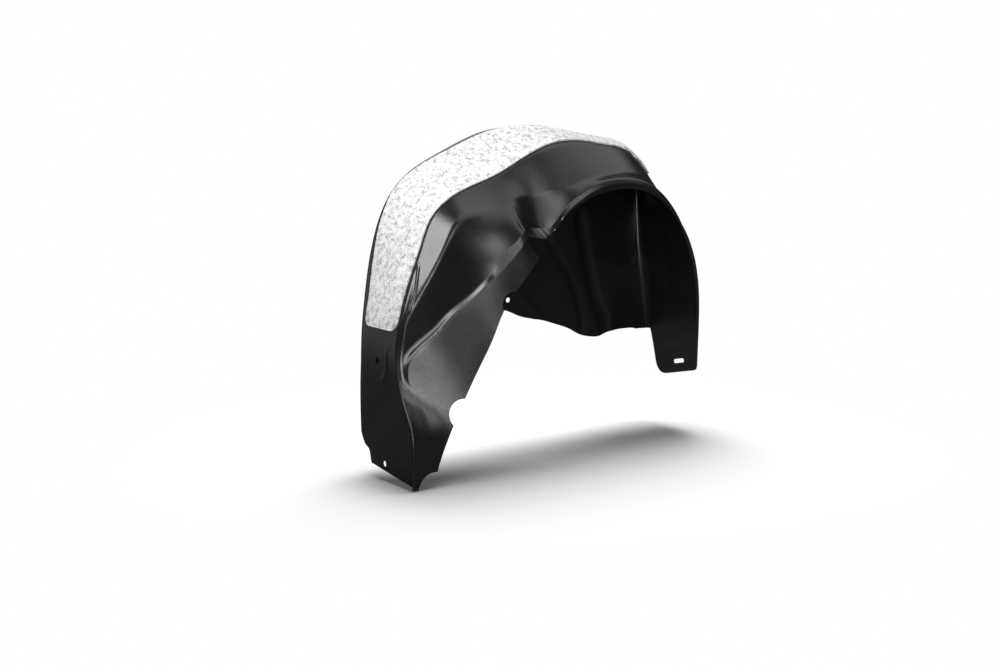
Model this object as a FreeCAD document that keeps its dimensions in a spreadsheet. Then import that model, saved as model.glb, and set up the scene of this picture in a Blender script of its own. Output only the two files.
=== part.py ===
import FreeCAD, Part
import math
import os
from FreeCAD import Placement, Rotation, Vector

# Rear wheel arch liner: one thermoformed plastic sheet with a felt noise pad glued on its roof.
# X runs along the car, Y from the wheel opening to the inner wall and Z up.
# The sheet is formed over guide lines that run round the arch. A fan of section planes round a
# hub below the arch cuts the guide lines, and each section is rounded at its bends.

doc = FreeCAD.newDocument("WheelArchLiner")

# Driving dimensions in millimetres and degrees
SIZES = {
    "arch_length": 756,
    "arch_depth": 188,
    "arch_height": 656,
    "sheet_thickness": 2.5,
    "column_corner_radius": 30,
    "roof_corner_radius": 8,
    "crease_radius": 9,
    "foot_crease_radius": 5,
    "shoulder_radius": 34,
    "step_foot_radius": 12,
    "step_crest_radius": 8,
    "felt_thickness": 4,
    "felt_glue_gap": 0.3,
    "felt_crease_margin": 2,
    "felt_column_margin": 1,
    "felt_corner_radius": 14,
    "felt_foot_angle": 41.6,
    "felt_end_angle": 110.4,
    "screw_hole_diameter": 12,
    "screw_low_y": 95,
    "screw_low_z": 26,
    "screw_high_y": 115,
    "screw_high_z": 217,
    "wall_hole_diameter": 11,
    "wall_hole_x": 359,
    "wall_hole_z": 294,
    "front_foot_width": 140,
    "front_foot_height": 44,
    "front_foot_slope": 7,
    "front_foot_radius": 10,
    "front_foot_chamfer": 7,
    "column_foot_rise": 2,
    "flange_foot_drop": 5,
    "wall_foot_y": 163,
    "wall_foot_z": 52,
    "wall_foot_height": 90,
    "foot_notch_x": 46,
    "foot_notch_z": -12,
    "foot_notch_radius": 35,
    "edge_notch_x": 113,
    "edge_notch_z": 121,
    "edge_notch_radius": 29,
    "driver_notch_x": 231,
    "driver_notch_z": 313,
    "driver_notch_radius": 25.5,
    "rear_foot_height": 71,
    "rear_foot_width": 137,
    "rear_foot_tilt": 13,
    "rear_foot_near_radius": 20,
    "rear_foot_far_radius": 34,
    "bead_radius": 17,
    "bead_height": 5,
    "slot_length": 34,
    "slot_width": 9,
    "slot_y": 64,
    "slot_z": 141,
}

sheet = doc.addObject("Spreadsheet::Sheet", "Sizes")
for row, (alias, value) in enumerate(SIZES.items(), start=1):
    sheet.set("A%d" % row, alias)
    sheet.set("B%d" % row, str(value))
    sheet.setAlias("B%d" % row, alias)
doc.recompute()


def size(alias):
    """Read one driving dimension from the sheet."""
    return float(getattr(sheet, alias))


# Box in which the guide lines are drawn; the sheet's length, depth and height stretch them
DRAWN_LENGTH = 756.0
DRAWN_DEPTH = 188.0
DRAWN_HEIGHT = 656.0
HUB = (430.0, 0.0, -100.0)

# Guide lines of the outer face, each a few places (x, y, z) from the front foot to the rear foot
GUIDES = {
    "wall_edge": [
        (24, 174, -40), (26, 177, 20), (34, 183, 90), (70, 187, 150), (150, 188, 205), (250, 186, 245),
        (352, 184, 273), (392, 182, 257), (438, 181, 247), (498, 180, 229), (528, 180, 218),
        (556, 180, 203), (582, 179, 197), (617, 178, 195), (642, 177, 204), (690, 175, 206),
        (722, 174, 204), (730, 172, 150), (730, 170, 90), (728, 170, 40),
    ],
    "wall_corner": [
        (0, 174, -50), (0, 180, 55), (0, 186, 145), (0, 188, 220), (8, 188, 322), (22, 186, 405),
        (46, 180, 484), (94, 172, 552), (182, 168, 603), (280, 167, 641), (365, 166, 649),
        (470, 166, 643), (581, 165, 632), (654, 165, 617), (700, 165, 575), (712, 164, 490),
        (716, 164, 400), (734, 164, 300), (751, 166, 200), (756, 168, 90), (756, 168, 40),
    ],
    "crease": [
        (0, 0, -50), (0, 0, 0), (0, 0, 50), (0, 0, 94), (0, 6, 125), (0, 34, 160), (0, 50, 207), (3, 60, 248),
        (10, 60, 300), (36, 55, 368), (60, 57, 418), (90, 64, 474), (128, 70, 505), (190, 74, 530),
        (256, 75, 552), (317, 75, 580), (380, 75, 605), (450, 76, 615), (526, 77, 608),
        (591, 80, 597), (650, 86, 560), (700, 94, 490), (730, 98, 400), (744, 100, 300),
        (748, 100, 200), (749, 100, 40),
    ],
    "shoulder": [
        (14, 0, -48), (14, 0, 0), (14, 0, 50), (12, 2, 94), (10, 14, 130), (7, 38, 166), (8, 50, 212),
        (18, 51, 280), (30, 43, 308), (50, 33, 356), (80, 27, 406), (104, 27, 448), (131, 33, 476),
        (184, 41, 487), (238, 48, 500), (270, 56, 521), (320, 58, 524), (352, 50, 525),
        (405, 44, 529), (489, 40, 549), (554, 36, 554), (613, 36, 537), (660, 40, 500),
        (700, 46, 440), (728, 50, 360), (742, 50, 270), (745, 50, 180), (746, 50, 40),
    ],
    "step_foot": [
        (24, 0, -46), (25, 0, 0), (26, 0, 50), (24, 2, 94), (19, 13, 128), (14, 36, 162), (16, 45, 206),
        (28, 43, 246), (50, 41, 276), (92, 38, 307), (136, 35, 337), (166, 33, 364), (188, 29, 387),
        (208, 12, 404), (236, 8, 426), (262, 10, 448), (290, 36, 454), (325, 48, 450),
        (352, 40, 452), (378, 33, 484), (412, 29, 509), (450, 25, 530), (492, 22, 541),
        (541, 19, 543), (592, 16, 533), (645, 12, 499), (690, 10, 445), (722, 12, 370),
        (739, 14, 270), (741, 14, 180), (741, 14, 40),
    ],
    "step_crest": [
        (32, 0, -44), (35, 0, 0), (38, 0, 50), (40, 2, 94), (36, 10, 128), (28, 26, 162), (30, 32, 204),
        (42, 30, 238), (59, 28, 268), (100, 24, 298), (143, 20, 326), (176, 15, 352), (212, 8, 381),
        (236, 4, 404), (262, 4, 430), (292, 24, 436), (325, 38, 430), (353, 39, 436),
        (384, 31, 476), (418, 26, 501), (455, 22, 521), (497, 19, 531), (541, 16, 534),
        (588, 13, 525), (637, 9, 494), (681, 6, 441), (715, 5, 366), (734, 5, 268),
        (737, 5, 180), (737, 5, 40),
    ],
    "opening_edge": [
        (44, 0, -42), (46, 0, -8), (55, 0, 28), (77, 0, 78), (117, 0, 151), (150, 0, 205),
        (183, 0, 258), (206, 0, 303), (243, 0, 345), (293, 2, 399), (325, 26, 412),
        (349, 39, 425), (366, 36, 455), (396, 30, 481), (443, 24, 506), (487, 20, 518),
        (535, 16, 522), (586, 12, 515), (628, 9, 495), (668, 6, 462), (708, 3, 403),
        (727, 0, 345), (736, 0, 262), (735, 0, 180), (733, 0, 40),
    ],
}
NEAR_BENDS = ("shoulder_radius", "step_foot_radius", "step_crest_radius")
BEND_CHORDS = (5, 3, 4, 3, 3)

# Fan angles: first and last, the ends of the stretches that have sections closer together,
# where the flange's foot ends, and where the column turns into the roof
FAN_START = 8.0
FAN_END = 151.0
SCREWS_END = 29.0
POCKET_START = 64.0
POCKET_END = 84.0
FOOT_END = 25.0
FLANGE_START = 38.0
COLUMN_END = 46.0
ROOF_START = 60.0


def fitted(point):
    """Stretch a drawn guide point to the liner's length, depth and height."""
    along = size("arch_length") / DRAWN_LENGTH
    across = size("arch_depth") / DRAWN_DEPTH
    up = size("arch_height") / DRAWN_HEIGHT
    return Vector(point[0] * along, point[1] * across, point[2] * up)


hub = fitted(HUB)


def fan_angle(point):
    """Angle of a point round the hub, from the front foot over the top to the rear foot."""
    return math.degrees(math.atan2(point.z - hub.z, hub.x - point.x))


def guide_curve(places):
    """A smooth curve through the stretched guide points."""
    curve = Part.BSplineCurve()
    curve.interpolate([fitted(place) for place in places])
    return curve


def crossing(curve, angle):
    """Point where a guide crosses the section plane at this angle."""
    low = curve.FirstParameter
    high = curve.LastParameter
    for _ in range(40):
        middle = (low + high) / 2.0
        if fan_angle(curve.value(middle)) < angle:
            low = middle
        else:
            high = middle
    return curve.value(low)


def bend(before, corner, after, radius, chords):
    """Points of a rounded bend between two runs of a section."""
    back = before - corner
    ahead = after - corner
    turn = math.pi - back.getAngle(ahead)
    reach = radius * math.tan(turn / 2.0)
    reach = max(min(reach, back.Length * 0.45, ahead.Length * 0.45), 0.5)
    start = corner + back.normalize() * reach
    end = corner + ahead.normalize() * reach
    points = []
    for step in range(chords + 1):
        t = step / float(chords)
        points.append(start * (1 - t) ** 2 + corner * (2 * t * (1 - t)) + end * t ** 2)
    return points


guides = [guide_curve(places) for places in GUIDES.values()]
near_radii = [size(name) for name in NEAR_BENDS]


def blended(angle, first_angle, last_angle, first_value, last_value):
    """A value that changes evenly between two fan angles and stays the same outside them."""
    share = (angle - first_angle) / (last_angle - first_angle)
    share = min(max(share, 0.0), 1.0)
    return first_value + (last_value - first_value) * share


def from_column_to_roof(angle, column_value, roof_value):
    """A value that changes where the front column bends over into the roof."""
    return blended(angle, COLUMN_END, ROOF_START, column_value, roof_value)


def section(angle):
    """Outer face in one section plane, from the inner wall's edge to the opening's edge."""
    corners = [crossing(guide, angle) for guide in guides]
    far_radius = from_column_to_roof(angle, size("column_corner_radius"), size("roof_corner_radius"))
    crease_radius = blended(
        angle, FOOT_END, FLANGE_START, size("foot_crease_radius"), size("crease_radius")
    )
    radii = [far_radius, crease_radius] + near_radii
    points = [corners[0]]
    for index, (radius, chords) in enumerate(zip(radii, BEND_CHORDS), start=1):
        rounded = bend(corners[index - 1], corners[index], corners[index + 1], radius, chords)
        if index == 2:
            points.extend(felt_edges(points[-1], rounded[0], angle))
        points.extend(rounded)
    points.append(corners[-1])
    return points


def felt_edges(far_side, crease_side, angle):
    """Points of the roof where the felt pad's two long edges lie."""
    run = crease_side - far_side
    length = run.Length
    run.normalize()
    far_margin = from_column_to_roof(angle, size("felt_column_margin"), size("felt_crease_margin"))
    return [
        far_side + run * min(far_margin, length * 0.3),
        crease_side - run * min(size("felt_crease_margin"), length * 0.3),
    ]


FELT_COLUMN = BEND_CHORDS[0] + 2


def fan():
    """Angles of the section planes, closer together where the sheet turns sharply."""
    stretches = [
        (FAN_START, 0),
        (SCREWS_END, 4),
        (size("felt_foot_angle"), 5),
        (POCKET_START, 7),
        (POCKET_END, 10),
        (size("felt_end_angle"), 6),
        (FAN_END, 9),
    ]
    result = [FAN_START]
    for (low, _), (high, steps) in zip(stretches, stretches[1:]):
        for step in range(1, steps + 1):
            result.append(low + (high - low) * step / float(steps))
    return result


def offset(rows, distance):
    """Sections moved off the sheet's outer face by an even distance."""
    result = []
    for i, row in enumerate(rows):
        after = rows[min(i + 1, len(rows) - 1)]
        before = rows[max(i - 1, 0)]
        normals = []
        for j in range(len(row) - 1):
            along = (after[j] + after[j + 1]) - (before[j] + before[j + 1])
            normals.append((row[j + 1] - row[j]).cross(along).normalize())
        line = []
        for j, point in enumerate(row):
            low = normals[max(j - 1, 0)]
            high = normals[min(j, len(normals) - 1)]
            line.append(point + (low + high) * (distance / (1.0 + low.dot(high))))
        result.append(line)
    return result


def facets(a, b, c, d):
    """A flat face through four corners, or two where they aren't in one plane."""
    if abs((b - a).cross(c - a).normalize().dot(d - a)) < 1e-7:
        return [Part.Face(Part.makePolygon([a, b, c, d, a]))]
    return [Part.Face(Part.makePolygon([a, b, c, a])), Part.Face(Part.makePolygon([a, c, d, a]))]


def formed_solid(outer_rows, inner_rows):
    """Closed solid between two faces of matching sections."""
    faces = []
    last_row = len(outer_rows) - 1
    last_column = len(outer_rows[0]) - 1
    for i in range(last_row):
        for j in range(last_column):
            for rows in (outer_rows, inner_rows):
                faces += facets(rows[i][j], rows[i + 1][j], rows[i + 1][j + 1], rows[i][j + 1])
        for j in (0, last_column):
            faces += facets(outer_rows[i][j], outer_rows[i + 1][j], inner_rows[i + 1][j], inner_rows[i][j])
    for i in (0, last_row):
        for j in range(last_column):
            faces += facets(outer_rows[i][j], outer_rows[i][j + 1], inner_rows[i][j + 1], inner_rows[i][j])
    shell = Part.Shell(faces)
    shell.sewShape()
    solid = Part.Solid(shell)
    if solid.Volume < 0:
        solid.reverse()
    return solid


def rounded_face(corners, radii):
    """Flat face with rounded corners."""
    edges = []
    ends = []
    count = len(corners)
    for k in range(count):
        here = corners[k]
        back = (corners[k - 1] - here).normalize()
        ahead = (corners[(k + 1) % count] - here).normalize()
        half = back.getAngle(ahead) / 2.0
        reach = radii[k] / math.tan(half)
        start = here + back * reach
        end = here + ahead * reach
        middle = here + (back + ahead).normalize() * (radii[k] / math.sin(half) - radii[k])
        ends.append((start, end))
        if radii[k] > 0:
            edges.append((k, Part.Arc(start, middle, end).toShape()))
    ordered = []
    for k in range(count):
        ordered += [edge for place, edge in edges if place == k]
        ordered.append(Part.makeLine(ends[k][1], ends[(k + 1) % count][0]))
    return Part.Face(Part.Wire(ordered))


angles = fan()
outer = [section(angle) for angle in angles]
inner = offset(outer, -size("sheet_thickness"))

formed = doc.addObject("Part::Feature", "FormedSheet")
formed.Label = "formed_sheet"
formed.Shape = formed_solid(outer, inner)

# Two stiffening beads pressed outwards in the inner wall, each a few places (x, z) from its top,
# and the (y, z) of the wall's outer face near its lower edge and near the roof
BEADS = [
    [(467, 402), (513, 346), (542, 298), (556, 248)],
    [(546, 435), (566, 363), (590, 290), (616, 238)],
]
WALL_LOW = (179.5, 205)
WALL_HIGH = (166, 645)


def wall_depth(z):
    """How far back the inner wall's outer face lies at a drawn height."""
    return WALL_LOW[0] + (WALL_HIGH[0] - WALL_LOW[0]) * (z - WALL_LOW[1]) / (WALL_HIGH[1] - WALL_LOW[1])


def bead_tubes(radius):
    """Round tubes along the beads' lines, which stand out of the wall by the bead's height."""
    pieces = []
    for line in BEADS:
        centres = []
        for x, z in line:
            on_wall = fitted((x, wall_depth(z), z))
            centres.append(on_wall + Vector(0, size("bead_height") - size("bead_radius"), 0))
        pieces += [Part.makeSphere(radius, centre) for centre in centres]
        for start, end in zip(centres, centres[1:]):
            pieces.append(Part.makeCylinder(radius, start.distanceToPoint(end), start, end - start))
    return pieces[0].multiFuse(pieces[1:])


# The ridges are the tubes' outer part, kept from the middle of the sheet outwards
half_sheet = Vector(0, size("sheet_thickness") / 2.0, 0)
wall_foot = fitted((0, WALL_LOW[0], WALL_LOW[1])) - half_sheet
wall_head = fitted((0, WALL_HIGH[0], WALL_HIGH[1])) - half_sheet
far_head = Vector(0, size("arch_depth") * 2.0, wall_head.z)
far_base = Vector(0, size("arch_depth") * 2.0, wall_foot.z)
outline = Part.makePolygon([wall_foot, wall_head, far_head, far_base, wall_foot])
outside_wall = Part.Face(outline).extrude(Vector(size("arch_length"), 0, 0))
ridges = doc.addObject("Part::Feature", "BeadRidges")
ridges.Shape = bead_tubes(size("bead_radius")).common(outside_wall)
beaded = doc.addObject("Part::Fuse", "BeadedSheet")
beaded.Base = formed
beaded.Tool = ridges
grooves = doc.addObject("Part::Feature", "BeadGrooves")
grooves.Shape = bead_tubes(size("bead_radius") - size("sheet_thickness"))

# Holes and round notches of the formed sheet
cutters = [grooves]


def round_cut(name, radius, depth, turn, x, y, z):
    """A round hole's or notch's cutter, its size and place bound to the sheet."""
    tool = doc.addObject("Part::Cylinder", name)
    tool.Placement = Placement(Vector(), turn)
    tool.setExpression("Radius", radius)
    tool.setExpression("Height", depth)
    tool.setExpression("Placement.Base.x", x)
    tool.setExpression("Placement.Base.y", y)
    tool.setExpression("Placement.Base.z", z)
    cutters.append(tool)


along_x = Rotation(Vector(0, 1, 0), 90)
along_y = Rotation(Vector(1, 0, 0), -90)
round_cut("LowScrewHole", "Sizes.screw_hole_diameter / 2", "Sizes.screw_hole_diameter * 2", along_x,
          "-Sizes.screw_hole_diameter", "Sizes.screw_low_y", "Sizes.screw_low_z")
round_cut("HighScrewHole", "Sizes.screw_hole_diameter / 2", "Sizes.screw_hole_diameter * 2", along_x,
          "-Sizes.screw_hole_diameter", "Sizes.screw_high_y", "Sizes.screw_high_z")
round_cut("WallHole", "Sizes.wall_hole_diameter / 2", "Sizes.arch_depth / 3", along_y,
          "Sizes.wall_hole_x", "Sizes.arch_depth * 5 / 6", "Sizes.wall_hole_z")
round_cut("FootNotch", "Sizes.foot_notch_radius", "Sizes.arch_depth / 3", along_y,
          "Sizes.foot_notch_x", "-Sizes.arch_depth / 6", "Sizes.foot_notch_z")
round_cut("EdgeNotch", "Sizes.edge_notch_radius", "Sizes.arch_depth / 3", along_y,
          "Sizes.edge_notch_x", "-Sizes.arch_depth / 6", "Sizes.edge_notch_z")
round_cut("DriverNotch", "Sizes.driver_notch_radius", "Sizes.arch_depth / 3", along_y,
          "Sizes.driver_notch_x", "-Sizes.arch_depth / 6", "Sizes.driver_notch_z")


def outline_cut(name, corners, radii, depth):
    """A cutter with a rounded outline, pushed through the sheet along depth."""
    tool = doc.addObject("Part::Feature", name)
    tool.Shape = rounded_face(corners, radii).extrude(depth)
    cutters.append(tool)


# Front foot: the flange's toe, the column's slanted end and the corner where the wall ends
foot_slope = math.tan(math.radians(size("front_foot_slope")))
foot_width = size("front_foot_width")
foot_height = size("front_foot_height")
foot_rise = size("column_foot_rise")
foot_radius = size("front_foot_radius")
toe_radius = foot_radius * 0.3
toe_depth = size("sheet_thickness") * 1.4
foot_start = -size("screw_hole_diameter")
outside = size("arch_depth")
outline_cut(
    "FrontFootCut",
    [
        Vector(foot_start, -outside, -size("flange_foot_drop")),
        Vector(foot_start, toe_depth, -size("flange_foot_drop")),
        Vector(foot_start, toe_depth, foot_rise),
        Vector(foot_start, foot_width, foot_rise + foot_width * foot_slope),
        Vector(foot_start, foot_width + size("front_foot_chamfer"), foot_height),
        Vector(foot_start, size("wall_foot_y"), size("wall_foot_z")),
        Vector(foot_start, outside, size("wall_foot_height")),
        Vector(foot_start, outside * 2.0, size("wall_foot_height")),
        Vector(foot_start, outside * 2.0, -outside),
        Vector(foot_start, -outside, -outside),
    ],
    [0, 0, 0, toe_radius, foot_radius, foot_radius, 0, 0, 0, 0],
    Vector(size("arch_depth"), 0, 0),
)

# Cut between the flange's end and the pocket's lip: corners (x, z) of its outline and their radii
LIP_CORNERS = [(293, 397), (264, 431), (277, 437), (300, 435), (328, 431), (349, 426), (356, 404), (320, 376)]
LIP_RADII = [4, 6, 5, 20, 20, 2, 4, 4]
outline_cut(
    "LipCut",
    [fitted((x, -DRAWN_DEPTH / 6.0, z)) for x, z in LIP_CORNERS],
    LIP_RADII,
    Vector(0, outside * 0.5, 0),
)

# Rear foot: the blank is cut away round a tilted outline with rounded corners
REAR_FOOT_START = (690, 0, 202)
near_edge = -size("sheet_thickness") / 5.0
foot_top = fitted(REAR_FOOT_START).z
foot_x = fitted(REAR_FOOT_START).x
leg_depth = Vector(size("arch_length") - foot_x + outside, 0, 0)
tilt = math.radians(size("rear_foot_tilt"))
along_foot = Vector(0, math.cos(tilt), -math.sin(tilt))
up_foot = Vector(0, math.sin(tilt), math.cos(tilt))
near_foot = Vector(foot_x, near_edge, foot_top - size("rear_foot_height"))
far_foot = near_foot + along_foot * size("rear_foot_width")
foot_outline = rounded_face(
    [near_foot, far_foot, far_foot + up_foot * outside, near_foot + Vector(0, 0, outside)],
    [size("rear_foot_near_radius"), size("rear_foot_far_radius"), 0, 0],
)
blank = Part.makeBox(
    leg_depth.x, outside * 2.0, size("arch_height") / 2.0,
    Vector(foot_x, -outside / 2.0, foot_top - size("arch_height") / 2.0),
)
rear_cut = doc.addObject("Part::Feature", "RearFootCut")
rear_cut.Shape = blank.cut(foot_outline.extrude(leg_depth))
cutters.append(rear_cut)

# Slot in the rear foot, along its lower edge
slot_middle = Vector(foot_x, size("slot_y"), size("slot_z"))
half_length = along_foot * (size("slot_length") / 2.0)
half_width = up_foot * (size("slot_width") / 2.0)
slot_end = size("slot_width") * 0.499
outline_cut(
    "RearSlot",
    [
        slot_middle - half_length - half_width,
        slot_middle + half_length - half_width,
        slot_middle + half_length + half_width,
        slot_middle - half_length + half_width,
    ],
    [slot_end, slot_end, slot_end, slot_end],
    leg_depth,
)

tools = doc.addObject("Part::Compound", "Cutters")
tools.Links = cutters
liner = doc.addObject("Part::Cut", "LinerShell")
liner.Base = beaded
liner.Tool = tools
liner.Label = "liner_shell"
doc.recompute()

# Felt pad glued on the roof, with rounded corners
rows = [i for i, angle in enumerate(angles) if size("felt_foot_angle") <= angle + 1e-6]
rows = [i for i in rows if angles[i] <= size("felt_end_angle") + 1e-6]
low_face = offset(outer, size("felt_glue_gap"))
high_face = offset(outer, size("felt_glue_gap") + size("felt_thickness"))


def felt_line(face, position, distance):
    """The pad's two long edges at a place along the arch, drawn in near its rounded ends."""
    i = min(int(position), len(angles) - 2)
    part = position - i
    ends = []
    for column in (FELT_COLUMN, FELT_COLUMN + 1):
        ends.append(face[i][column] * (1 - part) + face[i + 1][column] * part)
    across = (ends[1] - ends[0]).normalize()
    radius = size("felt_corner_radius")
    rest = max(radius - distance, 0.0)
    inset = radius - math.sqrt(max(radius ** 2 - rest ** 2, 0.0))
    return [ends[0] + across * inset, ends[1] - across * inset]


def felt_places():
    """Places along the arch for the pad's sections, and how far each is from the pad's end."""
    places = []
    radius = size("felt_corner_radius")
    for end, step in ((rows[0], 1), (rows[-1], -1)):
        gap = outer[end][FELT_COLUMN].distanceToPoint(outer[end + step][FELT_COLUMN])
        for share in (0.0, 0.1, 0.3, 0.6, 1.0):
            places.append((end + step * share * radius / gap, share * radius))
    for i in rows[1:-1]:
        places.append((float(i), radius))
    return sorted(places)


felt = doc.addObject("Part::Feature", "FeltPad")
felt.Label = "felt_pad"
felt.Shape = formed_solid(
    [felt_line(high_face, place, distance) for place, distance in felt_places()],
    [felt_line(low_face, place, distance) for place, distance in felt_places()],
)

# Origin between the two front screw holes, on the front face
centre = Vector(
    0,
    (size("screw_low_y") + size("screw_high_y")) / 2.0,
    (size("screw_low_z") + size("screw_high_z")) / 2.0,
)
os.makedirs("parts", exist_ok=True)
for node in (liner, felt):
    node.Placement = Placement(centre.negative(), Rotation())
    doc.recompute()
for item in doc.Objects:
    if "Invalid" in item.State or "Error" in item.State:
        raise ValueError("%s failed" % item.Label)
for node in (liner, felt):
    if node.Shape.isNull() or not node.Shape.isValid():
        raise ValueError("%s is not a valid shape" % node.Label)
    node.Shape.exportStep("parts/%s.step" % node.Label)
    print(node.Label, len(node.Shape.Solids), node.Shape.Volume, node.Shape.BoundBox)
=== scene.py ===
import bmesh
import bpy
import math
import numpy as np
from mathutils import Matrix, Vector, noise


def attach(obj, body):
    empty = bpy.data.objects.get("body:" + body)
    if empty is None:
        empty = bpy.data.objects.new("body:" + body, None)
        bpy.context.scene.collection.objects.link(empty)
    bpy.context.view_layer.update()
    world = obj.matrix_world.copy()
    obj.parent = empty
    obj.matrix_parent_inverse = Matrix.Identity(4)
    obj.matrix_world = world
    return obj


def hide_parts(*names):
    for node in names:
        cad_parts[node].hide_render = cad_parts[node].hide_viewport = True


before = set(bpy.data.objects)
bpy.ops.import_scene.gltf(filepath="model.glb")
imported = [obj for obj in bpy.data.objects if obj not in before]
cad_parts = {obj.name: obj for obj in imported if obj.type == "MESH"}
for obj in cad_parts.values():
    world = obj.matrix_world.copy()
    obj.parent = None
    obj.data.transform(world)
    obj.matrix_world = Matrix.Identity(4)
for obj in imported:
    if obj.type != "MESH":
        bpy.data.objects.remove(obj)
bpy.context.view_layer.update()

# Guide points are in millimetres from the near bottom corner of the front column.
# The model's origin lies between the column's two screw holes.
MM = 0.001
ORIGIN = Vector((0.0, 105.0, 121.5))
# Middle of the fan of section planes, in x and z, below the arch
HUB = (430.0, -100.0)


def place(x, y, z):
    """A point of the drawn frame in the model's metres."""
    return (Vector((x, y, z)) - ORIGIN) * MM


# Guide lines of the sheet's outer face, from the front foot over the arch to the rear foot
GUIDES = {
    "wall_edge": [
        (24, 174, -40), (26, 177, 20), (34, 183, 90), (70, 187, 150), (150, 188, 205), (250, 186, 245),
        (352, 184, 273), (392, 182, 257), (438, 181, 247), (498, 180, 229), (528, 180, 218),
        (556, 180, 203), (582, 179, 197), (617, 178, 195), (642, 177, 204), (690, 175, 206),
        (722, 174, 204), (730, 172, 150), (730, 170, 90), (728, 170, 40),
    ],
    "wall_corner": [
        (0, 174, -50), (0, 180, 55), (0, 186, 145), (0, 188, 220), (8, 188, 322), (22, 186, 405),
        (46, 180, 484), (94, 172, 552), (182, 168, 603), (280, 167, 641), (365, 166, 649), (470, 166, 643),
        (581, 165, 632), (654, 165, 617), (700, 165, 575), (712, 164, 490), (716, 164, 400),
        (734, 164, 300), (751, 166, 200), (756, 168, 90), (756, 168, 40),
    ],
    "crease": [
        (0, 0, -50), (0, 0, 0), (0, 0, 50), (0, 0, 94), (0, 12, 125), (0, 34, 160), (0, 50, 207),
        (3, 56, 248), (9, 51, 290), (18, 48, 322), (36, 52, 368), (60, 57, 418), (90, 64, 474),
        (128, 70, 505), (190, 74, 530), (256, 75, 552), (317, 75, 580), (380, 75, 605), (450, 76, 615),
        (526, 77, 608), (591, 80, 597), (650, 86, 560), (700, 94, 490), (730, 98, 400), (744, 100, 300),
        (748, 100, 200), (749, 100, 40),
    ],
    "shoulder": [
        (14, 0, -48), (14, 0, 0), (14, 0, 50), (13, 1, 88), (13, 10, 118), (12, 30, 153), (6.5, 40, 182),
        (5, 46.5, 209), (7.5, 49.5, 230), (12, 47.5, 253), (15, 46, 277), (20, 44, 299), (29, 40, 315),
        (41, 37, 338), (50, 33, 356), (80, 27, 406), (104, 27, 448), (131, 33, 476),
        (184, 41, 487), (238, 45, 494), (271, 51, 509), (321, 54, 512), (352, 48, 519),
        (405, 44, 529), (489, 40, 549), (554, 36, 554), (613, 36, 537), (660, 40, 500),
        (700, 46, 440), (728, 50, 360), (742, 50, 270), (745, 50, 180), (746, 50, 40),
    ],
    "step_foot": [
        (24, 0, -46), (25, 0, 0), (26, 0, 50), (27, 1, 82), (27, 8, 111), (24, 25.5, 146), (13, 37, 177),
        (9, 44, 206), (12.5, 47.5, 226), (25, 46, 242), (36, 44, 251), (56.5, 40, 266), (77, 36, 281),
        (96, 33.5, 302), (140, 28, 330), (173, 21.5, 357), (193, 14, 378),
        (208, 12, 404), (236, 8, 426), (262, 10, 448), (290, 36, 454), (325, 48, 450),
        (352, 40, 452), (378, 33, 484), (412, 29, 509), (450, 25, 530), (492, 22, 541),
        (541, 19, 543), (592, 16, 533), (645, 12, 499), (690, 10, 445), (722, 12, 370),
        (739, 14, 270), (741, 14, 180), (741, 14, 40),
    ],
    "step_crest": [
        (32, 0, -44), (35, 0, 0), (38, 0, 50), (42, 1, 75), (42, 6, 103), (38, 20.5, 137), (21, 33.5, 171),
        (15, 38.5, 201), (18, 38.5, 222), (29, 35, 239), (53, 29, 258), (78, 25.5, 278), (100, 24, 298),
        (143, 20, 326), (176, 15, 352), (212, 8, 381),
        (236, 4, 404), (262, 4, 430), (292, 24, 436), (325, 38, 430), (353, 39, 436),
        (384, 31, 476), (418, 26, 501), (455, 22, 521), (497, 19, 531), (541, 16, 534),
        (588, 13, 525), (637, 9, 494), (681, 6, 441), (715, 5, 366), (734, 5, 268),
        (737, 5, 180), (737, 5, 40),
    ],
    "opening_edge": [
        (44, 0, -42), (46, 0, -8), (55, 0, 28), (77, 0, 78), (117, 0, 151), (150, 0, 205),
        (183, 0, 258), (206, 0, 303), (243, 0, 345), (293, 2, 399), (325, 26, 412),
        (349, 39, 425), (366, 36, 455), (396, 30, 481), (443, 24, 506), (487, 20, 518),
        (535, 16, 522), (586, 12, 515), (628, 9, 495), (668, 6, 462), (708, 3, 403),
        (727, 0, 345), (736, 0, 262), (735, 0, 180), (733, 0, 40),
    ],
}
THICKNESS = 2.5


def smooth_line(points, spacing=4.0):
    """Dense points of a natural cubic spline through a guide's points."""
    p = np.array(points, float)
    knots = np.concatenate([[0.0], np.cumsum(np.linalg.norm(np.diff(p, axis=0), axis=1))])
    gaps = np.diff(knots)
    n = len(p)
    matrix = np.eye(n)
    right = np.zeros((n, 3))
    for i in range(1, n - 1):
        matrix[i, i - 1:i + 2] = gaps[i - 1], 2 * (gaps[i - 1] + gaps[i]), gaps[i]
        right[i] = 6 * ((p[i + 1] - p[i]) / gaps[i] - (p[i] - p[i - 1]) / gaps[i - 1])
    bends = np.linalg.solve(matrix, right)
    s = np.arange(0.0, knots[-1], spacing)
    i = np.clip(np.searchsorted(knots, s, side="right") - 1, 0, n - 2)
    g = gaps[i][:, None]
    a = ((knots[i + 1] - s) / gaps[i])[:, None]
    b = 1.0 - a
    return a * p[i] + b * p[i + 1] + ((a ** 3 - a) * bends[i] + (b ** 3 - b) * bends[i + 1]) * g ** 2 / 6


def fan_angles(points):
    """Angle of each point round the hub, from the front foot over the top to the rear."""
    return np.degrees(np.arctan2(points[:, 2] - HUB[1], HUB[0] - points[:, 0]))


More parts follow.
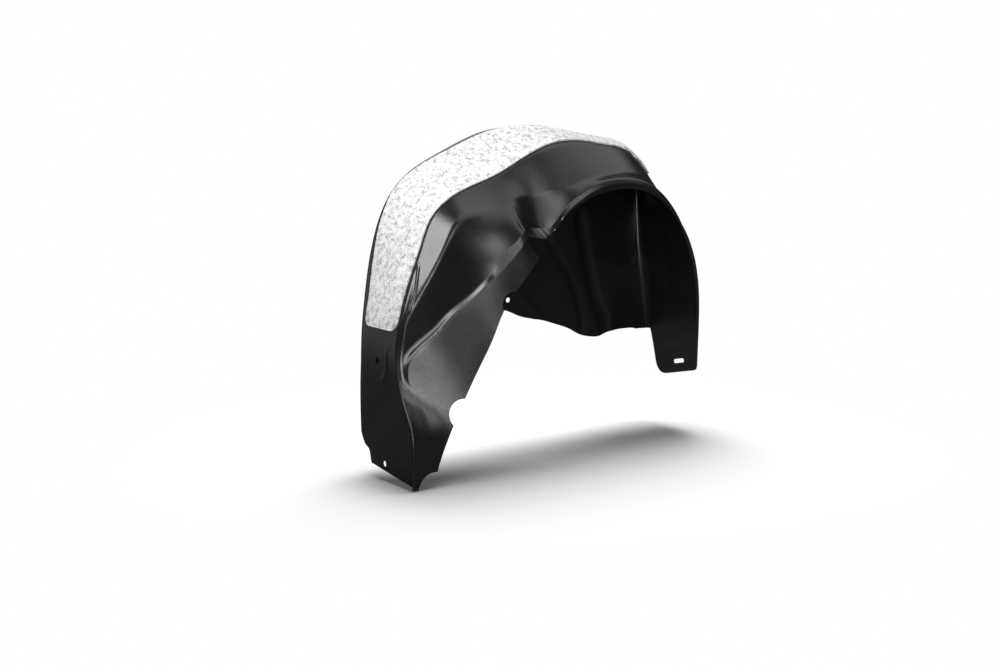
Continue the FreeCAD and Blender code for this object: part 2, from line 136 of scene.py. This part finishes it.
LINES = [smooth_line(points) for points in GUIDES.values()]
STATIONS = np.concatenate([
    np.linspace(8, 29, 7)[:-1],
    np.linspace(29, 41.6, 7)[:-1],
    np.linspace(41.6, 64, 13)[:-1],
    np.linspace(64, 84, 21)[:-1],
    np.linspace(84, 110.4, 13)[:-1],
    np.linspace(110.4, 151, 15),
])


def across(values, angle):
    """A value given at a few angles of the fan, read off between them."""
    return float(np.interp(angle, [v[0] for v in values], [v[1] for v in values]))


# Radius of each bend by fan angle, from the inner wall to the opening's edge
BEND_RADII = [
    [(46, 30), (60, 8), (90, 8), (104, 34), (125, 60)],
    [(25, 5), (38, 9), (60, 10), (110, 11)],
    [(30, 14), (46, 18), (56, 15), (63, 22), (68, 40), (84, 40), (92, 28), (120, 30)],
    [(30, 8), (50, 5), (62, 4), (68, 12), (80, 8)],
    [(30, 9), (46, 6), (60, 4), (68, 8)],
]
# How many control points lie inside each run between two bends
RUN_POINTS = (11, 6, 4, 3, 1, 3)
# Reach of a bend's control points along its runs, over the reach of an arc of the same radius
BEND_REACH = 1.45
# Largest share of a run that one bend takes, and the least reach in millimetres
RUN_SHARE = 0.46
LEAST_REACH = 0.8


def evenly(start, end, between):
    """Points from start to end, both included, with so many between them."""
    return [start.lerp(end, j / (between + 1)) for j in range(between + 2)]


def section(angle):
    """Control points of one section across the sheet: run, corner, run, and so on."""
    corners = []
    for line in LINES:
        turn = fan_angles(line)
        corners.append(Vector([float(np.interp(angle, turn, line[:, k])) for k in range(3)]))
    points = []
    start = corners[0]
    for k, radii in enumerate(BEND_RADII):
        corner = corners[k + 1]
        back = corners[k] - corner
        ahead = corners[k + 2] - corner
        reach = BEND_REACH * across(radii, angle) * math.tan((math.pi - back.angle(ahead)) / 2)
        reach = max(min(reach, back.length * RUN_SHARE, ahead.length * RUN_SHARE), LEAST_REACH)
        end = corner + back.normalized() * reach
        points += evenly(start, end, RUN_POINTS[k])
        points.append(corner)
        start = corner + ahead.normalized() * reach
    return points + evenly(start, corners[-1], RUN_POINTS[-1])


def new_object(name, bm):
    """A finished bmesh as a new object of the scene."""
    mesh = bpy.data.meshes.new(name)
    bm.to_mesh(mesh)
    bm.free()
    piece = bpy.data.objects.new(name, mesh)
    bpy.context.scene.collection.objects.link(piece)
    return piece


def bridged(rows, name):
    """A sheet of quads through matching rows of points, as a new object."""
    bm = bmesh.new()
    before = None
    for row in rows:
        verts = [bm.verts.new(place(*point)) for point in row]
        edges = [bm.edges.new(pair) for pair in zip(verts, verts[1:])]
        if before:
            bmesh.ops.bridge_loops(bm, edges=before + edges)
        before = edges
    bmesh.ops.recalc_face_normals(bm, faces=bm.faces)
    return new_object(name, bm)


def apply(piece, kind, **settings):
    """Add a modifier and apply it at once."""
    modifier = piece.modifiers.new(kind.title(), kind)
    for key, value in settings.items():
        setattr(modifier, key, value)
    bpy.context.view_layer.update()
    depsgraph = bpy.context.evaluated_depsgraph_get()
    mesh = bpy.data.meshes.new_from_object(piece.evaluated_get(depsgraph))
    piece.modifiers.clear()
    old = piece.data
    piece.data = mesh
    bpy.data.meshes.remove(old)
    return piece


def slab(name, outline, axis, low, high):
    """A closed cutter: an outline in the plane across axis x or y, pushed from low to high."""
    bm = bmesh.new()
    if axis == "x":
        corners = [(low, a, b) for a, b in outline]
        push = Vector((high - low, 0.0, 0.0))
    else:
        corners = [(a, low, b) for a, b in outline]
        push = Vector((0.0, high - low, 0.0))
    face = bm.faces.new([bm.verts.new(place(*corner)) for corner in corners])
    pushed = bmesh.ops.extrude_face_region(bm, geom=[face])
    moved = [item for item in pushed["geom"] if isinstance(item, bmesh.types.BMVert)]
    bmesh.ops.translate(bm, verts=moved, vec=push * MM)
    bmesh.ops.recalc_face_normals(bm, faces=bm.faces)
    return new_object(name, bm)


def rounded(corners, radii, steps=6):
    """An outline's points with each corner rounded to its own radius."""
    points = []
    count = len(corners)
    for k, radius in enumerate(radii):
        here = Vector(corners[k])
        back = (Vector(corners[k - 1]) - here).normalized()
        ahead = (Vector(corners[(k + 1) % count]) - here).normalized()
        if radius == 0:
            points.append(tuple(here))
            continue
        reach = radius / math.tan(back.angle(ahead) / 2)
        start = here + back * reach
        end = here + ahead * reach
        for step in range(steps + 1):
            t = step / steps
            points.append(tuple(start * (1 - t) ** 2 + here * (2 * t * (1 - t)) + end * t ** 2))
    return points


def circle(x, y, radius, steps=48):
    """Points of a round outline."""
    return [
        (x + radius * math.cos(2 * math.pi * k / steps), y + radius * math.sin(2 * math.pi * k / steps))
        for k in range(steps)
    ]


def cut(piece, name, outline, axis, low, high):
    """Take a slab's shape out of a piece."""
    cutter = slab(name, outline, axis, low, high)
    apply(piece, "BOOLEAN", object=cutter, operation="DIFFERENCE", solver="EXACT")
    bpy.data.objects.remove(cutter)


# Relief pressed into the sheet along lines (x, z) seen square to the inner wall: height, half
# width of the flat top and width of its sides, each in millimetres, and the line
WALL_RELIEF = [
    (3.2, 7.0, 12.0, [
        (546, 455), (554, 420), (570, 363), (590, 298), (603, 264), (622, 238), (630, 190)]),
    (2.2, 1.0, 13.0, [(440, 440), (467, 402), (513, 346), (542, 298), (556, 248), (566, 200)]),
    (-2.0, 3.0, 10.0, [(360, 345), (385, 310), (439, 252), (460, 215)]),
]
# The same for lines (x, y, z) in space: the pocket's rim and streak, the rib beside the felt, the
# ring round the column's upper hole and the lines above the rear foot
SPACE_RELIEF = [
    (2.0, 1.6, 4.0, [(264, 42, 496), (262, 31, 480), (261, 21, 462), (266, 14, 448), (275, 12, 438)]),
    (1.4, 1.0, 3.5, [(301, 49, 475), (327, 48, 452), (343, 39, 433)]),
    (1.3, 0.6, 2.4, [
        (52, 55, 400), (51, 51, 392), (44, 46, 369), (38, 43, 350), (29, 42, 327), (23, 44, 310)]),
    (1.6, 1.4, 3.6, [
        (0, 86, 242), (0, 84, 230), (0, 83, 217), (0, 84, 203), (0, 90, 190), (0, 102, 180)]),
    (1.2, 1.0, 3.5, [(749, 142, 168), (747, 113, 172), (746, 102, 178), (742, 42, 188)]),
]


def smooth_step(low, high, values):
    """From 0 at low to 1 at high, with soft ends."""
    t = np.clip((values - low) / (high - low), 0.0, 1.0)
    return t * t * (3.0 - 2.0 * t)


def distance_to_line(points, line):
    """Distance of each point to a line of straight runs, in as many axes as both have."""
    nearest = np.full(len(points), np.inf)
    for start, end in zip(np.array(line[:-1], float), np.array(line[1:], float)):
        run = end - start
        share = np.clip((points - start) @ run / (run @ run), 0.0, 1.0)
        gap = np.linalg.norm(points - start - share[:, None] * run, axis=1)
        nearest = np.minimum(nearest, gap)
    return nearest


def press_relief(piece):
    """Move the sheet's points along their normals where relief is pressed into it."""
    mesh = piece.data
    count = len(mesh.vertices)
    flat = np.zeros(count * 3)
    mesh.vertices.foreach_get("co", flat)
    points = flat.reshape(-1, 3)
    normals = np.zeros(count * 3)
    mesh.vertices.foreach_get("normal", normals)
    normals = normals.reshape(-1, 3)
    drawn = points / MM + np.array(ORIGIN)
    # Only what faces +Y, the inner wall, takes the relief that is seen square to it
    on_wall = smooth_step(0.5, 0.9, normals[:, 1])
    lift = np.zeros(count)
    for height, half_width, side, line in WALL_RELIEF:
        gap = distance_to_line(drawn[:, [0, 2]], line)
        lift += on_wall * height * (1.0 - smooth_step(half_width, half_width + side, gap))
    for height, half_width, side, line in SPACE_RELIEF:
        gap = distance_to_line(drawn, line)
        lift += height * (1.0 - smooth_step(half_width, half_width + side, gap))
    points = points + normals * lift[:, None] * MM
    mesh.vertices.foreach_set("co", points.ravel())
    mesh.update()


def formed_sheet():
    """The sheet as it leaves the mould, with its relief and thickness, before it is trimmed."""
    sheet = bridged([section(angle) for angle in STATIONS], "liner_shell_formed")
    apply(sheet, "SUBSURF", levels=2, render_levels=2)
    roof_top = place(365, 120, 640)
    roof = min(sheet.data.polygons, key=lambda p: (p.center - roof_top).length)
    if roof.normal.z < 0:
        sheet.data.flip_normals()
    press_relief(sheet)
    apply(sheet, "SOLIDIFY", thickness=THICKNESS * MM, offset=-1.0, use_quality_normals=True)
    return sheet


# Depths that a cutter passes through, in millimetres
COLUMN_DEPTH = (-12, 12)
FLANGE_DEPTH = (-31, 31)
WALL_DEPTH = (160, 220)
REAR_DEPTH = (690, 900)

# Front foot: what the trimming takes off below the column, as (y, z) corners and their radii
FRONT_FOOT_SLOPE = math.tan(math.radians(7))
FRONT_FOOT = [
    (-190, -5), (3.5, -5), (3.5, 2), (140, 2 + 140 * FRONT_FOOT_SLOPE), (147, 44), (163, 52), (188, 90),
    (380, 90), (380, -190), (-190, -190),
]
FRONT_FOOT_RADII = [0, 0, 0, 3, 10, 10, 0, 0, 0, 0]

# Lip over the wheel opening: the pocket's end as (x, z) corners and their radii
LIP = [(293, 397), (264, 431), (277, 437), (300, 435), (328, 431), (349, 426), (356, 404), (320, 376)]
LIP_RADII = [4, 6, 5, 20, 20, 2, 4, 4]

# Rear foot: what lies outside a tilted, rounded outline is taken off, as (y, z)
FOOT_TILT = math.radians(13)
FOOT_WIDTH = 137.0
FOOT_TOP = 202.0
FOOT_RADII = (20, 34)
SLOT_MIDDLE = Vector((64.0, 141.0))
SLOT_LENGTH = 34.0
SLOT_WIDTH = 9.0
SLOT_RADIUS = 4.49


def cut_rear_foot(piece):
    """Trim the rear foot and cut its slot along the foot's tilt."""
    along = Vector((math.cos(FOOT_TILT), -math.sin(FOOT_TILT)))
    up = Vector((math.sin(FOOT_TILT), math.cos(FOOT_TILT)))
    near = Vector((-0.5, 131.0))
    far = near + along * FOOT_WIDTH
    far_top = far + up * ((FOOT_TOP - far.y) / up.y)
    outline = [
        Vector((near.x, FOOT_TOP)), near, far, far_top, (282, FOOT_TOP), (282, -126), (-94, -126),
        (-94, FOOT_TOP),
    ]
    cut(piece, "rear_cut", rounded(outline, [0, *FOOT_RADII, 0, 0, 0, 0, 0]), "x", *REAR_DEPTH)
    half = along * SLOT_LENGTH / 2
    side = up * SLOT_WIDTH / 2
    slot = [SLOT_MIDDLE + half * a + side * b for a, b in ((-1, -1), (1, -1), (1, 1), (-1, 1))]
    cut(piece, "rear_slot", rounded(slot, [SLOT_RADIUS] * 4), "x", *REAR_DEPTH)


shell = formed_sheet()
cut(shell, "foot_cut", rounded(FRONT_FOOT, FRONT_FOOT_RADII), "x", -12, 176)
cut(shell, "foot_notch", circle(46, -12, 35), "y", *FLANGE_DEPTH)
cut(shell, "edge_notch", circle(113, 121, 29), "y", *FLANGE_DEPTH)
cut(shell, "driver_notch", circle(231, 313, 25.5), "y", *FLANGE_DEPTH)
cut(shell, "lip_cut", rounded(LIP, LIP_RADII), "y", -20, 74)
cut(shell, "low_hole", circle(95, 26, 6), "x", *COLUMN_DEPTH)
cut(shell, "high_hole", circle(115, 217, 6), "x", *COLUMN_DEPTH)
cut(shell, "wall_hole", circle(359, 294, 5.5), "y", *WALL_DEPTH)
cut_rear_foot(shell)
shell.data.shade_smooth()
shell.data.set_sharp_from_angle(angle=math.radians(35))
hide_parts("liner_shell")
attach(shell, "root")

# Felt pad on the column and the roof: fan angles of its ends, and sizes in millimetres
FELT_START = 41.6
FELT_END = 110.4
FELT_CORNER = 14.0
FELT_COLUMNS = 13
FELT_ROWS = 76
FELT_REACH = 640.0
FELT_THICKNESS = 3.8
FELT_GAP = 0.5
FELT_EDGE = 1.2
# How far the pad's far edge lies inside the roof's bend, by fan angle
FELT_FAR_EDGE = [(46, -12), (55, -12), (59, -7)]
# Rows that round an end, as shares of the corner's radius
FELT_END_ROWS = (0.0, 0.06, 0.2, 0.45, 0.75)
# Waves and tufts of the surface: turns per metre and height in millimetres
FELT_WAVES = ((60.0, 0.35), (170.0, 0.25))


def felt_row(angle, distance):
    """Points across the pad at a fan angle, drawn in near its rounded ends."""
    points = section(angle)
    roof_start = RUN_POINTS[0] + 3
    roof_end = roof_start + RUN_POINTS[1] + 1
    run = (points[roof_end] - points[roof_start]).normalized()
    rest = max(FELT_CORNER - distance, 0.0)
    inset = FELT_CORNER - math.sqrt(max(FELT_CORNER ** 2 - rest ** 2, 0.0))
    far = points[roof_start] + run * (across(FELT_FAR_EDGE, angle) + inset)
    near = points[roof_end] - run * (1.0 + inset)
    return evenly(far, near, FELT_COLUMNS - 2)


def felt_rows():
    """Rows of the pad from one rounded end to the other."""
    corner_angle = FELT_CORNER * math.degrees(1.0 / FELT_REACH)
    starts = [felt_row(FELT_START + share * corner_angle, share * FELT_CORNER) for share in FELT_END_ROWS]
    ends = [felt_row(FELT_END - share * corner_angle, share * FELT_CORNER) for share in FELT_END_ROWS]
    angles = np.linspace(FELT_START + corner_angle, FELT_END - corner_angle, FELT_ROWS)
    middle = [felt_row(float(angle), FELT_CORNER) for angle in angles]
    return starts + middle + ends[::-1]


def felt_pad():
    """The pad: a sheet over the roof with its gap, thickness, soft edge and uneven surface."""
    pad = bridged(felt_rows(), "felt_noise_pad")
    if sum(p.normal.z * p.area for p in pad.data.polygons) < 0:
        pad.data.flip_normals()
    apply(pad, "SUBSURF", levels=1, render_levels=1)
    apply(pad, "DISPLACE", strength=FELT_GAP * MM, mid_level=0.0)
    apply(pad, "SOLIDIFY", thickness=FELT_THICKNESS * MM, offset=1.0, use_quality_normals=True)
    apply(pad, "BEVEL", width=FELT_EDGE * MM, segments=3, limit_method="ANGLE",
          angle_limit=math.radians(50))
    for vertex in pad.data.vertices:
        lift = sum(noise.noise(vertex.co * turns) * height for turns, height in FELT_WAVES)
        vertex.co += vertex.normal * lift * MM
    pad.data.shade_smooth()
    return pad


felt = felt_pad()
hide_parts("felt_pad")
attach(felt, "root")


# Shared effects
def new_group(name, inputs, outputs):
    """An empty shader node group with named sockets."""
    group = bpy.data.node_groups.new(name, "ShaderNodeTree")
    for kind, label in inputs:
        group.interface.new_socket(label, in_out="INPUT", socket_type="NodeSocket" + kind)
    for kind, label in outputs:
        group.interface.new_socket(label, in_out="OUTPUT", socket_type="NodeSocket" + kind)
    return group, group.nodes.new("NodeGroupInput"), group.nodes.new("NodeGroupOutput")


def grain_group():
    """Fine grain of two sizes, from 0 to 1, on Object coordinates."""
    inputs = [
        ("Vector", "Vector"), ("Float", "Fine Scale"), ("Float", "Coarse Scale"), ("Float", "Coarse Share"),
    ]
    group, given, result = new_group("grain", inputs, [("Float", "Height")])
    links = group.links
    fine = group.nodes.new("ShaderNodeTexNoise")
    fine.inputs["Detail"].default_value = 2.0
    coarse = group.nodes.new("ShaderNodeTexNoise")
    coarse.inputs["Detail"].default_value = 3.0
    mix = group.nodes.new("ShaderNodeMix")
    links.new(given.outputs["Vector"], fine.inputs["Vector"])
    links.new(given.outputs["Vector"], coarse.inputs["Vector"])
    links.new(given.outputs["Fine Scale"], fine.inputs["Scale"])
    links.new(given.outputs["Coarse Scale"], coarse.inputs["Scale"])
    links.new(given.outputs["Coarse Share"], mix.inputs[0])
    links.new(fine.outputs["Fac"], mix.inputs[2])
    links.new(coarse.outputs["Fac"], mix.inputs[3])
    links.new(mix.outputs[0], result.inputs["Height"])
    return group


GRAIN = grain_group()


def new_material(name):
    """A material with its nodes and Principled shader."""
    material = bpy.data.materials.new(name)
    material.use_nodes = True
    nodes = material.node_tree.nodes
    return material, nodes, material.node_tree.links, nodes["Principled BSDF"]


def ramp(nodes, stops):
    """A colour ramp with the given stops of position and grey."""
    node = nodes.new("ShaderNodeValToRGB")
    elements = node.color_ramp.elements
    while len(elements) < len(stops):
        elements.new(0.5)
    for element, (position, grey) in zip(elements, stops):
        element.position = position
        element.color = (grey, grey, grey, 1.0)
    return node


def grained(nodes, links, shader, fine, coarse, strength, distance):
    """Grain on Object coordinates that also bumps the surface; gives the coordinates and the grain."""
    coordinates = nodes.new("ShaderNodeTexCoord")
    grain = nodes.new("ShaderNodeGroup")
    grain.node_tree = GRAIN
    grain.inputs["Fine Scale"].default_value = fine
    grain.inputs["Coarse Scale"].default_value = coarse
    grain.inputs["Coarse Share"].default_value = 0.5
    bump = nodes.new("ShaderNodeBump")
    bump.inputs["Strength"].default_value = strength
    bump.inputs["Distance"].default_value = distance
    links.new(coordinates.outputs["Object"], grain.inputs["Vector"])
    links.new(grain.outputs["Height"], bump.inputs["Height"])
    links.new(bump.outputs["Normal"], shader.inputs["Normal"])
    return coordinates, grain


def liner_plastic():
    """Black formed sheet: satin, with a fine grain and faint cloudy gloss."""
    material, nodes, links, shader = new_material("liner_plastic")
    coordinates, grain = grained(nodes, links, shader, 900.0, 260.0, 0.55, 0.0004)
    cloud = nodes.new("ShaderNodeTexNoise")
    cloud.inputs["Scale"].default_value = 14.0
    cloud.inputs["Detail"].default_value = 4.0
    shader.inputs["Specular IOR Level"].default_value = 0.8
    gloss = ramp(nodes, [(0.3, 0.23), (0.7, 0.29)])
    tone = ramp(nodes, [(0.3, 0.0), (0.75, 0.0)])
    tone.color_ramp.elements[0].color = (0.006, 0.006, 0.0065, 1.0)
    tone.color_ramp.elements[1].color = (0.009, 0.009, 0.0095, 1.0)
    links.new(coordinates.outputs["Object"], cloud.inputs["Vector"])
    links.new(cloud.outputs["Fac"], gloss.inputs["Fac"])
    links.new(cloud.outputs["Fac"], tone.inputs["Fac"])
    links.new(gloss.outputs["Color"], shader.inputs["Roughness"])
    links.new(tone.outputs["Color"], shader.inputs["Base Color"])
    return material


def felt_fibre():
    """White non-woven felt with grey specks."""
    material, nodes, links, shader = new_material("felt_fibre")
    coordinates, grain = grained(nodes, links, shader, 420.0, 110.0, 0.8, 0.0008)
    tone = ramp(nodes, [(0.36, 0.28), (0.47, 0.66), (0.56, 0.86)])
    links.new(grain.outputs["Height"], tone.inputs["Fac"])
    links.new(tone.outputs["Color"], shader.inputs["Base Color"])
    shader.inputs["Roughness"].default_value = 0.95
    shader.inputs["Specular IOR Level"].default_value = 0.2
    shader.inputs["Sheen Weight"].default_value = 0.25
    return material


shell.data.materials.clear()
shell.data.materials.append(liner_plastic())
felt.data.materials.clear()
felt.data.materials.append(felt_fibre())

# Camera at the photograph's place: 38 degrees round, 9 degrees above
CAMERA_TURN = math.radians(38)
CAMERA_RISE = math.radians(9)
camera_data = bpy.data.cameras.new("camera")
camera_data.lens = 43.2
camera_data.sensor_width = 36.0
camera_data.clip_start = 0.05
camera_data.clip_end = 50.0
camera = bpy.data.objects.new("camera", camera_data)
camera.location = place(-1158.1, -1734.7, 611.5)
view = Vector((
    math.sin(CAMERA_TURN) * math.cos(CAMERA_RISE),
    math.cos(CAMERA_TURN) * math.cos(CAMERA_RISE),
    -math.sin(CAMERA_RISE),
))
camera.rotation_euler = view.to_track_quat("-Z", "Y").to_euler()
bpy.context.scene.collection.objects.link(camera)
bpy.context.scene.camera = camera
bpy.context.scene.view_settings.view_transform = "Standard"

# Pale floor just under the front foot, white to the camera and dimmed by the object's shadow
FLOOR_HEIGHT = place(0, 0, -7).z
disc = bmesh.new()
bmesh.ops.create_circle(disc, cap_ends=True, segments=96, radius=6.0)
floor = new_object("floor", disc)
floor.location = (0.38, 0.0, FLOOR_HEIGHT)


def floor_paint():
    """White floor: matt where the shadow falls, plain white to the camera further out."""
    material, nodes, links, shader = new_material("floor_paint")
    nodes.remove(shader)
    output = nodes["Material Output"]
    matt = nodes.new("ShaderNodeBsdfDiffuse")
    matt.inputs["Color"].default_value = (1.0, 1.0, 1.0, 1.0)
    lift = nodes.new("ShaderNodeEmission")
    lift.inputs["Strength"].default_value = 0.08
    near = nodes.new("ShaderNodeAddShader")
    glow = nodes.new("ShaderNodeEmission")
    glow.inputs["Strength"].default_value = 1.0
    dim = nodes.new("ShaderNodeBsdfDiffuse")
    dim.inputs["Color"].default_value = (0.08, 0.08, 0.08, 1.0)
    coordinates = nodes.new("ShaderNodeTexCoord")
    length = nodes.new("ShaderNodeVectorMath")
    length.operation = "LENGTH"
    fade = ramp(nodes, [(0.45, 0.0), (0.85, 1.0)])
    seen = nodes.new("ShaderNodeLightPath")
    far = nodes.new("ShaderNodeMixShader")
    mix = nodes.new("ShaderNodeMixShader")
    links.new(coordinates.outputs["Object"], length.inputs[0])
    links.new(length.outputs["Value"], fade.inputs["Fac"])
    links.new(matt.outputs["BSDF"], near.inputs[0])
    links.new(lift.outputs["Emission"], near.inputs[1])
    links.new(fade.outputs["Color"], far.inputs["Fac"])
    links.new(near.outputs["Shader"], far.inputs[1])
    links.new(glow.outputs["Emission"], far.inputs[2])
    links.new(seen.outputs["Is Camera Ray"], mix.inputs["Fac"])
    links.new(dim.outputs["BSDF"], mix.inputs[1])
    links.new(far.outputs["Shader"], mix.inputs[2])
    links.new(mix.outputs["Shader"], output.inputs["Surface"])
    return material


floor.data.materials.append(floor_paint())

LAMP_TARGET = place(360, 90, 350)


def softbox(name, direction, distance, width, height, level):
    """A soft rectangular lamp of one brightness level that looks at the middle of the arch."""
    data = bpy.data.lights.new(name, "AREA")
    data.shape = "RECTANGLE"
    data.size = width
    data.size_y = height
    data.energy = level * math.pi * width * height
    lamp = bpy.data.objects.new(name, data)
    way = Vector(direction).normalized()
    lamp.location = LAMP_TARGET + way * distance
    lamp.rotation_euler = way.to_track_quat("Z", "Y").to_euler()
    bpy.context.scene.collection.objects.link(lamp)
    return lamp


lamps = [
    softbox("left_softbox", (-0.66, -0.36, 0.66), 2.2, 1.0, 2.2, 7.5),
    softbox("front_softbox", (0.16, -0.92, 0.36), 2.6, 1.0, 0.9, 2.8),
    softbox("low_softbox", (-0.22, -0.97, 0.03), 2.6, 0.7, 0.8, 7.5),
    softbox("right_softbox", (0.52, -0.27, 0.81), 2.4, 2.0, 2.2, 1.0),
    softbox("top_softbox", (0.15, 0.45, 0.88), 2.4, 1.3, 1.3, 2.0),
    softbox("back_softbox", (-0.58, 0.8, 0.1), 2.4, 1.9, 1.9, 0.35),
]

# One more lamp lights only the floor, so that the object's shadow there stays single and soft
floor_only = bpy.data.collections.new("floor_only")
floor_only.objects.link(floor)
floor_lamp = softbox("floor_softbox", (0.14, 0.22, 0.96), 2.6, 2.0, 2.0, 8.5)
floor_lamp.light_linking.receiver_collection = floor_only
not_floor = bpy.data.collections.new("not_floor")
not_floor.objects.link(floor)
not_floor.collection_objects[0].light_linking.link_state = "EXCLUDE"
for lamp in lamps:
    lamp.light_linking.receiver_collection = not_floor

# World: white to the camera, and dim to everything that mirrors it
world = bpy.data.worlds.new("studio")
bpy.context.scene.world = world
world.use_nodes = True
nodes = world.node_tree.nodes
links = world.node_tree.links
light = nodes["Background"]
light.inputs["Color"].default_value = (0.03, 0.03, 0.03, 1.0)
white = nodes.new("ShaderNodeBackground")
white.inputs["Color"].default_value = (1.0, 1.0, 1.0, 1.0)
seen = nodes.new("ShaderNodeLightPath")
mix = nodes.new("ShaderNodeMixShader")
links.new(seen.outputs["Is Camera Ray"], mix.inputs["Fac"])
links.new(light.outputs["Background"], mix.inputs[1])
links.new(white.outputs["Background"], mix.inputs[2])
links.new(mix.outputs["Shader"], nodes["World Output"].inputs["Surface"])
